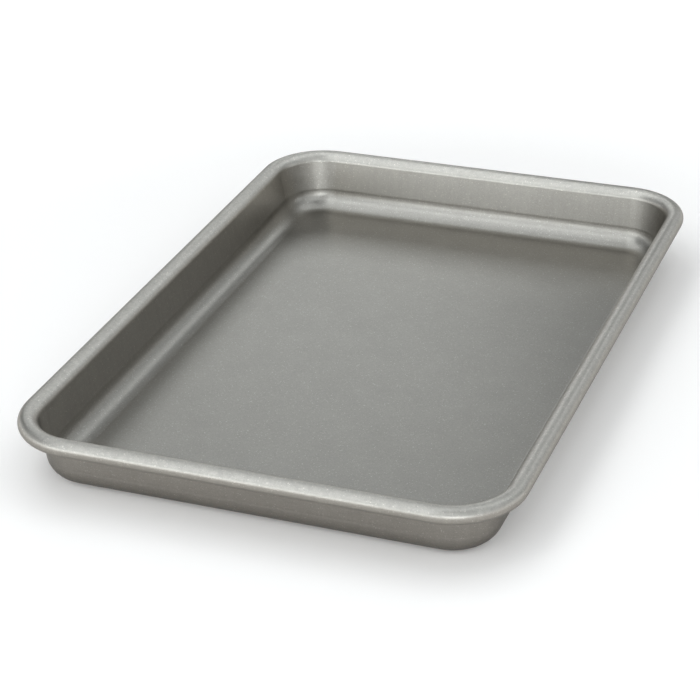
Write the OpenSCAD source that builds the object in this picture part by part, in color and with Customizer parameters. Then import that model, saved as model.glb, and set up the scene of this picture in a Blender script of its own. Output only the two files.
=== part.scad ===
// Jelly roll pan: a shallow tray drawn from one steel sheet, with a flat floor, flared walls,
// round corners and a rim that is rolled outward and down over a steel wire.
// The pan lies on z = 0 with its long side along Y, and the origin is under the middle of its floor.

/* [Overall size] */
// Length over the rolled rim, along Y
overall_l = 330; // [240:5:450]
// Width over the rolled rim, along X
overall_w = 225; // [160:5:320]
// Height from the table to the top of the rim
overall_h = 29; // [22:1:45]

/* [Drawn tray] */
// Thickness of the steel sheet
sheet_t = 0.8; // [0.5:0.1:1.2]
// Lean of the walls away from upright, in degrees
wall_flare = 10; // [8:0.5:25]
// Outside radius of the bend between floor and wall
bend_r = 10.2; // [4:0.1:12]
// Corner radius of the flat floor, seen from above
floor_corner_r = 11; // [4:0.5:20]
// How much steeper the wall stands at the draw line, where the bend ends, in degrees
draw_line_turn = 6; // [2:1:8]
// Height of the straight strip at the draw line
draw_line_h = 0.5; // [0.2:0.1:2]
// Radius that brings the wall from the draw line to its full lean
draw_line_r = 7; // [3:0.5:12]

/* [Rolled rim] */
// Diameter of the wire inside the rim
wire_d = 5.4; // [3:0.2:6.4]
// Gap between the wire and the sheet that is rolled round it
wire_clear = 0.1; // [0.05:0.05:0.3]
// How much wider than the roll the rim's inner shoulder is rounded
shoulder_extra = 1.2; // [1:0.1:4]
// Width of the flat between the shoulder and the roll
rim_flat = 0.6; // [0.2:0.1:3]
// Gap between the free edge of the curl and the wall
curl_gap = 0.5; // [0.2:0.1:1.5]
// Gap between the butted ends of the wire
wire_end_gap = 1; // [0.4:0.2:4]

/* [Hidden] */
$fn = 96;
// The rim: outside radius of the roll, radius of its inner shoulder, and the height of both centres
roll_r = wire_d / 2 + wire_clear + sheet_t;
shoulder_r = roll_r + shoulder_extra;
roll_z = overall_h - roll_r;
shoulder_z = overall_h - shoulder_r;
// Directions square to the wall above the draw line and at it
wall_lean = wall_flare - draw_line_turn;
wall_out = [cos(wall_flare), -sin(wall_flare)];
line_out = [cos(wall_lean), -sin(wall_lean)];
// The draw line's arc turns against the bend, so its centre lies on the outer side of the wall
bend_in_r = bend_r - sheet_t;
line_strip = draw_line_h * [tan(wall_lean), 1];
line_centre = [0, bend_r] + (bend_in_r + draw_line_r) * line_out + line_strip;
// The wall's inner face is tangent to the draw line's arc and to the shoulder, which sets how far
// the shoulder's centre stands out from the edge of the flat floor; it is kept to whole hundredths
wall_rise = shoulder_z - line_centre[1];
tangent_reach = line_centre[0]
    + (shoulder_r - draw_line_r + wall_rise * sin(wall_flare)) / cos(wall_flare);
shoulder_reach = round(100 * tangent_reach) / 100;
roll_reach = shoulder_reach + rim_flat;
// Half sizes of the flat floor, up to the start of the bend
floor_half_w = overall_w / 2 - roll_r - roll_reach;
floor_half_l = overall_l / 2 - roll_r - roll_reach;
// How much of the circle the curl leaves open, counted down from the place nearest to the wall
wall_away = shoulder_r + rim_flat * cos(wall_flare) - shoulder_extra * sin(wall_flare) - sheet_t;
least_open = 12;
curl_open = max(least_open, acos(min(1, (wall_away - curl_gap) / roll_r)));

// The sector between two angles, wide enough to cut a piece out of a circle of radius r
module slice(r, from, to) {
    reach = 2 * r;
    polygon([
        [0, 0],
        reach * [cos(from), sin(from)],
        reach * [cos(to), sin(to)]
    ]);
}

// A whole turn of sheet, seen on edge
module ring(outer_r) {
    difference() {
        circle(outer_r);
        circle(outer_r - sheet_t);
    }
}

// Part of such a turn, between two angles
module arc(outer_r, from, to) {
    intersection() {
        ring(outer_r);
        slice(outer_r, from, to);
    }
}

// Cross-section of the sheet: x runs outward from the edge of the flat floor, y runs up
module bend_section() {
    foot = [0, bend_r];
    translate(foot)
        arc(bend_r, -90, -wall_lean);
    polygon([
        foot + line_out * bend_in_r,
        foot + line_out * bend_r,
        foot + line_out * bend_r + line_strip,
        foot + line_out * bend_in_r + line_strip
    ]);
    translate(line_centre)
        arc(draw_line_r, 180 - wall_flare, 180 - wall_lean);
}

module wall_section() {
    head = [shoulder_reach, shoulder_z];
    polygon([
        line_centre - wall_out * draw_line_r,
        line_centre - wall_out * (draw_line_r - sheet_t),
        head - wall_out * (shoulder_r - sheet_t),
        head - wall_out * shoulder_r
    ]);
}

module rim_section() {
    translate([shoulder_reach, shoulder_z])
        arc(shoulder_r, 90, 180 - wall_flare);
    translate([shoulder_reach, overall_h - sheet_t])
        square([rim_flat, sheet_t]);
    translate([roll_reach, roll_z])
        difference() {
            ring(roll_r);
            slice(roll_r, 90, 180 - wall_flare + curl_open);
        }
}

module sheet_section() {
    bend_section();
    wall_section();
    rim_section();
}

// Sweeps a section round the edge of the flat floor: four straight runs and four quarter turns
module round_the_floor() {
    for (side = [0:3]) {
        across = side % 2 == 0 ? floor_half_w : floor_half_l;
        along = side % 2 == 0 ? floor_half_l : floor_half_w;
        rotate(90 * side) {
            translate([across, 0, 0])
                rotate([90, 0, 0])
                    linear_extrude(2 * (along - floor_corner_r), center = true)
                        children();
            translate([across - floor_corner_r, along - floor_corner_r, 0])
                rotate_extrude(angle = 90)
                    translate([floor_corner_r, 0])
                        children();
        }
    }
}

// The flat floor up to the bend: two crossing plates with a disc in each corner
module flat_floor() {
    inner_w = floor_half_w - floor_corner_r;
    inner_l = floor_half_l - floor_corner_r;
    translate([-floor_half_w, -inner_l, 0])
        cube([2 * floor_half_w, 2 * inner_l, sheet_t]);
    translate([-inner_w, -floor_half_l, 0])
        cube([2 * inner_w, 2 * floor_half_l, sheet_t]);
    for (x = [-inner_w, inner_w])
        for (y = [-inner_l, inner_l])
            translate([x, y, 0])
                cylinder(r = floor_corner_r, h = sheet_t);
}

// The tray: floor, bend, walls and rim are one drawn sheet
module pan_body() {
    color([0.36, 0.35, 0.33]) {
        flat_floor();
        round_the_floor()
            sheet_section();
    }
}

// The wire in the rim: one loop whose ends butt in the middle of a long side
module rim_wire() {
    color([0.62, 0.62, 0.6])
        difference() {
            round_the_floor()
                translate([roll_reach, roll_z])
                    circle(d = wire_d);
            translate([-floor_half_w - roll_reach, 0, roll_z])
                cube([2 * wire_d, wire_end_gap, 2 * wire_d], center = true);
        }
}

pan_body();
rim_wire();
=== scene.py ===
"""Looks of the jelly roll pan: coated sheet, steel wire, white floor and wall, soft boxes, photo camera."""
import math

import bpy
from mathutils import Matrix, Vector


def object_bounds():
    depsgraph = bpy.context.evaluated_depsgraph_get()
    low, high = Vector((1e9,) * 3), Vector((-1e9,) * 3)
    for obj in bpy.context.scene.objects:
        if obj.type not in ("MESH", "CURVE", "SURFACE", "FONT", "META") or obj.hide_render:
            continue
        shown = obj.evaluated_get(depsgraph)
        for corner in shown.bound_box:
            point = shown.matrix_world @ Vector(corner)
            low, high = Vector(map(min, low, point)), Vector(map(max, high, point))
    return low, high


# Camera at the photograph's viewpoint, in metres and degrees; azimuth 0 looks along +Y
CAMERA_AZIMUTH = 21.43
CAMERA_ELEVATION = 27.89
CAMERA_ROLL = -1.64
CAMERA_DISTANCE = 1.0281
CAMERA_AIM = Vector((-0.0151, 0.0017, 0.0))
CAMERA_LENS = 112.0
CAMERA_CLIP = (0.05, 20.0)

# Soft boxes round the pan: azimuth and elevation in degrees, width and height in metres, brightness
LIGHT_DISTANCE = 1.6
LIGHT_COLOUR = (0.93, 1.0, 1.05)
SOFT_BOXES = {
    "left_low": (-95, 12, 0.9, 0.5, 0.9),
    "left_mid": (-80, 36, 1.0, 0.6, 0.3),
    "left_front_low": (-60, 12, 0.8, 0.5, 1.5),
    "front_low": (-25, 9, 1.2, 0.45, 3.2),
    "front_mid": (-20, 28, 0.8, 0.5, 1.7),
    "front_high": (-26, 47, 0.8, 0.5, 2.8),
    "camera_low": (22, 11, 1.0, 0.5, 4.3),
    "camera_high": (20, 46, 0.8, 0.6, 1.3),
    "right_front_low": (62, 12, 0.9, 0.5, 1.5),
    "right_low": (105, 14, 1.0, 0.6, 1.25),
    "right_front_mid": (60, 40, 0.9, 0.7, 1.2),
    "right_mid": (105, 38, 1.0, 0.6, 0.4),
    "right_high": (118, 60, 1.2, 0.7, 1.2),
    "back_right_low": (155, 12, 0.8, 0.4, 0.9),
    "back_right": (150, 34, 0.9, 0.6, 0.9),
    "back": (174, 32, 0.5, 0.5, 1.3),
    "back_mirror": (-158, 26.5, 0.5, 0.4, 2.2),
    "back_left": (-137, 30, 0.45, 0.45, 1.6),
    "back_high": (-175, 62, 1.0, 0.6, 1.1),
    "left_front_high": (-48, 66, 0.8, 0.6, 1.8),
    "left_high": (-118, 62, 1.0, 0.7, 1.5),
    "top": (0, 90, 1.0, 1.0, 0.7),
}

# Dim room, with a white wall low behind the floor that ends between two sines of elevation
WORLD_LEVEL = 0.1
WALL_TOP = (0.08, 0.16)
WHITE = (1.0, 1.0, 1.0, 1.0)

# Pale floor, a hair below the pan so that their faces don't coincide
FLOOR_COLOUR = (0.99, 0.935, 0.895, 1.0)
FLOOR_ROUGHNESS = 0.9
FLOOR_SIZE = 12.0
FLOOR_DROP = 0.0001
# The floor's glow near the pan and far from it, and the distances between which it rises
FLOOR_GLOW = (0.06, 0.95)
GLOW_RISE = (0.25, 1.35)

# Coat on the sheet: warm grey metallic, satin, lighter on the top of the rim, partly from rubbed wear and
# partly as a painted highlight
COAT_COLOUR = (0.316, 0.297, 0.268, 1.0)
COAT_RUBBED_AND_HIGHLIT = (0.455, 0.428, 0.388, 1.0)
# The clear binder of the coat dulls the mirror at a low angle
COAT_EDGE = (0.63, 0.63, 0.63, 1.0)
COAT_ROUGHNESS = 0.36
# Wire in the rim: plated steel with faint marks
WIRE_COLOUR = (0.62, 0.62, 0.60)
WIRE_TONE = (0.92, 1.06)
WIRE_ROUGHNESS = (0.28, 0.42)

# Scales of the textures, in features per metre
FLAKE_SCALE = 2600.0
CLOUD_SCALE = 55.0
STREAK_SCALE = 420.0
RUB_SCALE = 420.0
GLOSS_SCALE = 260.0
PEEL_SCALE = 700.0
WIRE_MARK_SCALE = 300.0
WIRE_GLOSS_SCALE = 900.0

# How far a texture moves tone or roughness either way
FLAKE_SWING = 0.07
CLOUD_SWING = 0.025
STREAK_SWING = 0.03
GLOSS_SWING = 0.015
FLAKE_GLOSS_SWING = 0.03
# The few flakes that sparkle: the range of their random value, and how much lighter they get
SPARKLE_RANGE = (0.96, 1.0)
SPARKLE_TONE = 0.5
# Share of the rubbed colour with its painted highlight outside and inside the rubbed patches, the noise at
# which they start and are full, and what the rub adds to the roughness
RUB_AND_HIGHLIGHT_SHARE = (0.7, 1.0)
RUB_RANGE = (0.40, 0.60)
RUB_ROUGHNESS = 0.08
# Bumps: strength, and depth in metres, and how much the flakes add to the orange peel
PEEL_BUMP = (0.12, 0.00004)
PEEL_FLAKES = 0.25
WIRE_BUMP = (0.2, 0.00005)
# Coordinates are squeezed so far in height that a noise turns into streaks down the walls
STREAK_STRETCH = (1.0, 1.0, 0.03)

# Painted light and shade added to the tone of the walls: painted light on inner faces, and painted shade on
# outer ones, deepest at the foot and milder above it
INNER_PAINTED_LIGHT = 0.18
OUTER_PAINTED_SHADE = (-0.40, -0.14)
# Heights in metres between which the walls begin, and where the foot of the outer faces ends
WALL_START = (0.002, 0.008)
FOOT_TOP = 0.012
# Depths in metres below the top of the rim, between which the roll ends and its rubbed top with the painted
# highlight begins
ROLL_BOTTOM = (0.0075, 0.0065)
ROLL_TOP = (0.0032, 0.0012)
# Outwardness in metres at which a face counts in full as inner or outer
FULL_SIDE = 0.03


def plain_box(bounds):
    return [[float(v) for v in corner] for corner in bounds]


def direction(azimuth, elevation):
    a = math.radians(azimuth)
    e = math.radians(elevation)
    return Vector((math.sin(a) * math.cos(e), -math.cos(a) * math.cos(e), math.sin(e)))


def level_right(azimuth):
    """The level direction to the right of what looks at the pan from this azimuth."""
    a = math.radians(azimuth)
    return Vector((math.cos(a), math.sin(a), 0.0))


def placed(right, up, back, place):
    return Matrix.Translation(place) @ Matrix((right, up, back)).transposed().to_4x4()


def add_camera():
    back = direction(CAMERA_AZIMUTH, CAMERA_ELEVATION)
    level = level_right(CAMERA_AZIMUTH)
    upright = back.cross(level)
    roll = math.radians(CAMERA_ROLL)
    right = level * math.cos(roll) + upright * math.sin(roll)
    up = upright * math.cos(roll) - level * math.sin(roll)
    data = bpy.data.cameras.new("camera")
    data.lens = CAMERA_LENS
    data.clip_start, data.clip_end = CAMERA_CLIP
    camera = bpy.data.objects.new("camera", data)
    camera.matrix_world = placed(right, up, back, CAMERA_AIM + back * CAMERA_DISTANCE)
    bpy.context.scene.collection.objects.link(camera)
    bpy.context.scene.camera = camera


def add_soft_box(name, azimuth, elevation, width, height, brightness):
    data = bpy.data.lights.new(name, "AREA")
    data.shape = "RECTANGLE"
    data.size, data.size_y = width, height
    data.color = LIGHT_COLOUR
    # An area light of this power shows the given brightness to whatever reflects it
    data.energy = math.pi * width * height * brightness
    back = direction(azimuth, elevation)
    right = level_right(azimuth)
    light = bpy.data.objects.new(name, data)
    light.matrix_world = placed(right, back.cross(right), back, back * LIGHT_DISTANCE)
    # The soft boxes stand out of the picture; the pan still mirrors them
    light.visible_camera = False
    bpy.context.scene.collection.objects.link(light)


class Nodes:
    """Short hand for building the node tree of a material or of the world."""

    def __init__(self, owner, shader="Principled BSDF"):
        owner.use_nodes = True
        self.owner = owner
        self.tree = owner.node_tree
        self.shader = self.tree.nodes[shader]

    def plug(self, socket, value):
        if isinstance(value, bpy.types.NodeSocket):
            self.tree.links.new(value, socket)
        else:
            socket.default_value = value

    def set(self, name, value):
        self.plug(self.shader.inputs[name], value)

    def make(self, kind, inputs=None, **settings):
        node = self.tree.nodes.new(kind)
        for key, value in settings.items():
            setattr(node, key, value)
        for key, value in (inputs or {}).items():
            self.plug(node.inputs[key], value)
        return node

    def coordinates(self, kind):
        return self.make("ShaderNodeTexCoord").outputs[kind]

    def noise(self, scale, detail=2.0, rough=0.5, stretch=(1.0, 1.0, 1.0)):
        place = self.make("ShaderNodeMapping", {"Vector": self.coordinates("Object"), "Scale": stretch})
        node = self.make("ShaderNodeTexNoise", {
            "Vector": place.outputs["Vector"], "Scale": scale, "Detail": detail, "Roughness": rough,
        })
        return node.outputs["Fac"]

    def cell_values(self, scale):
        """Three random values for every cell of a texture."""
        cells = self.make("ShaderNodeTexVoronoi", {"Vector": self.coordinates("Object"), "Scale": scale})
        return self.make("ShaderNodeSeparateColor", {"Color": cells.outputs["Color"]}).outputs

    def math(self, operation, a, b=0.0, c=0.0):
        return self.make("ShaderNodeMath", {0: a, 1: b, 2: c}, operation=operation).outputs[0]

    def spread(self, value, low, high, from_low=0.3, from_high=0.7):
        """Maps a range of the value to another; the usual one is where most of a noise lies."""
        node = self.make("ShaderNodeMapRange", {
            "Value": value, "From Min": from_low, "From Max": from_high, "To Min": low, "To Max": high,
        })
        return node.outputs["Result"]

    def around(self, value, middle, swing, *span):
        return self.spread(value, middle - swing, middle + swing, *span)

    def upward(self, coordinates):
        """Height of a place, or the sine of a direction's elevation."""
        return self.make("ShaderNodeSeparateXYZ", {"Vector": self.coordinates(coordinates)}).outputs["Z"]

    def height(self):
        return self.upward("Object")

    def outwardness(self):
        """How much a face looks away from the middle of the pan; below 0 it looks at the middle."""
        geometry = self.make("ShaderNodeNewGeometry")
        across = self.make("ShaderNodeVectorMath", {
            0: geometry.outputs["Position"], 1: (1.0, 1.0, 0.0),
        }, operation="MULTIPLY")
        dot = self.make("ShaderNodeVectorMath", {
            0: geometry.outputs["True Normal"], 1: across.outputs["Vector"],
        }, operation="DOT_PRODUCT")
        return dot.outputs["Value"]

    def seen_rays(self):
        """1 for the rays that show the surroundings: from the camera, or by way of metal or glass."""
        path = self.make("ShaderNodeLightPath").outputs
        seen = self.math("MAXIMUM", path["Is Camera Ray"], path["Is Glossy Ray"])
        return self.math("MAXIMUM", seen, path["Is Transmission Ray"])

    def brighten(self, colour, factor):
        node = self.make("ShaderNodeVectorMath", {0: colour, "Scale": factor}, operation="SCALE")
        return node.outputs["Vector"]

    def mix(self, factor, a, b):
        return self.make("ShaderNodeMix", {0: factor, 6: a, 7: b}, data_type="RGBA").outputs[2]

    def bump(self, height, strength, distance):
        node = self.make("ShaderNodeBump", {"Height": height, "Strength": strength, "Distance": distance})
        self.set("Normal", node.outputs["Normal"])


def below(top, depths):
    return [top - depth for depth in depths]


def grain_tone(n, flakes, on_wall):
    """Metal flakes, a few of which sparkle, cloudy patches of the spray, streaks down the walls."""
    flecks = n.around(flakes[0], 1.0, FLAKE_SWING, 0.0, 1.0)
    sparkle = n.spread(flakes[1], 0.0, SPARKLE_TONE, *SPARKLE_RANGE)
    clouds = n.around(n.noise(CLOUD_SCALE, detail=3.0), 1.0, CLOUD_SWING)
    streaks = n.around(n.noise(STREAK_SCALE, stretch=STREAK_STRETCH), 0.0, STREAK_SWING)
    streaks = n.math("MULTIPLY_ADD", streaks, on_wall, 1.0)
    return n.math("MULTIPLY", n.math("ADD", flecks, sparkle), n.math("MULTIPLY", clouds, streaks))


def painted_side_light(n, on_wall, pan_height):
    """Painted light and shade on the walls: inner faces are painted a little lighter, outer ones painted
    darker, most of all at the foot.
    """
    facing = n.outwardness()
    inner = n.math("MULTIPLY", n.spread(facing, 1.0, 0.0, -FULL_SIDE, 0.0), on_wall)
    outer = n.math(
        "MULTIPLY",
        n.spread(facing, 0.0, 1.0, 0.0, FULL_SIDE),
        n.spread(n.height(), *OUTER_PAINTED_SHADE, 0.0, FOOT_TOP),
    )
    # The painted shade on the outer faces stops under the roll
    under_roll = n.spread(n.height(), 1.0, 0.0, *below(pan_height, ROLL_BOTTOM))
    inner = n.math("MULTIPLY_ADD", inner, INNER_PAINTED_LIGHT, 1.0)
    return n.math("MULTIPLY_ADD", outer, under_roll, inner)


def coated_sheet_material(pan_height):
    n = Nodes(bpy.data.materials.new("coated_sheet"))
    flakes = n.cell_values(FLAKE_SCALE)
    on_wall = n.spread(n.height(), 0.0, 1.0, *WALL_START)
    # The tone holds the grain of the coat and the painted light and shade of the walls
    grain_and_painted_light = n.math("MULTIPLY", grain_tone(n, flakes, on_wall), painted_side_light(n, on_wall, pan_height))
    # The top of the rim is rubbed a little duller, and lighter in part from wear and in part as a painted
    # highlight
    top = n.spread(n.height(), 0.0, 1.0, *below(pan_height, ROLL_TOP))
    patches = n.noise(RUB_SCALE, detail=4.0, rough=0.7)
    rub_and_highlight = n.math("MULTIPLY", top, n.spread(patches, *RUB_AND_HIGHLIGHT_SHARE, *RUB_RANGE))
    n.set("Base Color", n.brighten(n.mix(rub_and_highlight, COAT_COLOUR, COAT_RUBBED_AND_HIGHLIT), grain_and_painted_light))
    gloss = n.around(n.noise(GLOSS_SCALE, detail=3.0), COAT_ROUGHNESS, GLOSS_SWING)
    gloss = n.math("MULTIPLY_ADD", top, RUB_ROUGHNESS, gloss)
    n.set("Roughness", n.math("ADD", gloss, n.around(flakes[2], 0.0, FLAKE_GLOSS_SWING, 0.0, 1.0)))
    n.set("Metallic", 1.0)
    n.set("Specular Tint", COAT_EDGE)
    # Orange peel of the coat with the grain of the flakes on it
    peel = n.math("ADD", n.noise(PEEL_SCALE), n.math("MULTIPLY", flakes[0], PEEL_FLAKES))
    n.bump(peel, *PEEL_BUMP)
    return n.owner


def plated_wire_material():
    n = Nodes(bpy.data.materials.new("plated_wire"))
    marks = n.noise(WIRE_MARK_SCALE, detail=4.0, rough=0.7)
    n.set("Base Color", n.brighten(WIRE_COLOUR, n.spread(marks, *WIRE_TONE)))
    n.set("Roughness", n.spread(n.noise(WIRE_GLOSS_SCALE, detail=3.0), *WIRE_ROUGHNESS))
    n.set("Metallic", 1.0)
    n.bump(marks, *WIRE_BUMP)
    return n.owner


def floor_material():
    n = Nodes(bpy.data.materials.new("floor"))
    n.set("Base Color", FLOOR_COLOUR)
    n.set("Roughness", FLOOR_ROUGHNESS)
    n.set("Specular IOR Level", 0.0)
    # A glow that only the camera and mirrors see keeps the floor white beyond the reach of the soft boxes
    away = n.make("ShaderNodeVectorMath", {0: n.coordinates("Object")}, operation="LENGTH")
    glow = n.spread(away.outputs["Value"], *FLOOR_GLOW, *GLOW_RISE)
    n.set("Emission Color", WHITE)
    n.set("Emission Strength", n.math("MULTIPLY", n.seen_rays(), glow))
    return n.owner


def dress(node, material):
    node.data.materials.clear()
    node.data.materials.append(material)


def add_floor():
    bpy.ops.mesh.primitive_plane_add(size=FLOOR_SIZE, location=(0.0, 0.0, -FLOOR_DROP))
    floor = bpy.context.object
    floor.name = "floor"
    dress(floor, floor_material())


def set_world():
    world = bpy.data.worlds.new("studio")
    bpy.context.scene.world = world
    n = Nodes(world, "Background")
    n.set("Color", (*LIGHT_COLOUR, 1.0))
    n.set("Strength", WORLD_LEVEL)
    wall = n.make("ShaderNodeBackground", {"Color": WHITE, "Strength": 1.0})
    low = n.math("MULTIPLY", n.seen_rays(), n.spread(n.upward("Generated"), 1.0, 0.0, *WALL_TOP))
    both = n.make("ShaderNodeMixShader", {
        "Fac": low, 1: n.shader.outputs["Background"], 2: wall.outputs["Background"],
    })
    n.plug(n.tree.nodes["World Output"].inputs["Surface"], both.outputs["Shader"])


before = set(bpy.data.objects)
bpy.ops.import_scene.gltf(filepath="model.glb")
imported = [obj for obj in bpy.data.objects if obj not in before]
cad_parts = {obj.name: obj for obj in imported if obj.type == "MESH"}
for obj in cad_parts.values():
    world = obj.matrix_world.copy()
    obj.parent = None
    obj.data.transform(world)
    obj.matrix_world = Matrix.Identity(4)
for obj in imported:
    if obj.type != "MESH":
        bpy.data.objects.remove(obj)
cad_box = plain_box(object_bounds())
add_camera()
set_world()
for box_name, box in SOFT_BOXES.items():
    add_soft_box(box_name, *box)
add_floor()
pan_height = cad_box[1][2]
dress(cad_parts["pan_body"], coated_sheet_material(pan_height))
dress(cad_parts["rim_wire"], plated_wire_material())
bpy.context.scene.view_settings.view_transform = "Standard"
